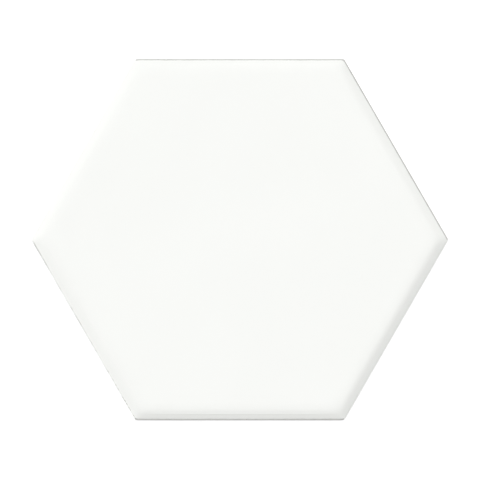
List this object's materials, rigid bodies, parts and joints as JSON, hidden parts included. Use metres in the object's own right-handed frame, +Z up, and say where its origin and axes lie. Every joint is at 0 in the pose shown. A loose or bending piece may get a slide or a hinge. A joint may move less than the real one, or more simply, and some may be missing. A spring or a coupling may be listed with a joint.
{
  "type": "hexagon floor tile",
  "caption": "Plain white glazed hexagon floor tile with a softly cushioned edge, upright joint sides and a honeycomb back that keys into the adhesive bed.",
  "frame": {"origin": "middle of the tile, on the plane that the border and ribs of its back rest on", "axes": "+X from the middle through a corner, +Y through the middle of a side, +Z up through the glazed face"},
  "size_m": [0.1996, 0.1732, 0.009],
  "materials": {
    "glazed_porcelain": "satin"
  },
  "bodies": {
    "root": {"hexagon_tile": "glazed_porcelain"}
  },
  "joints": []
}
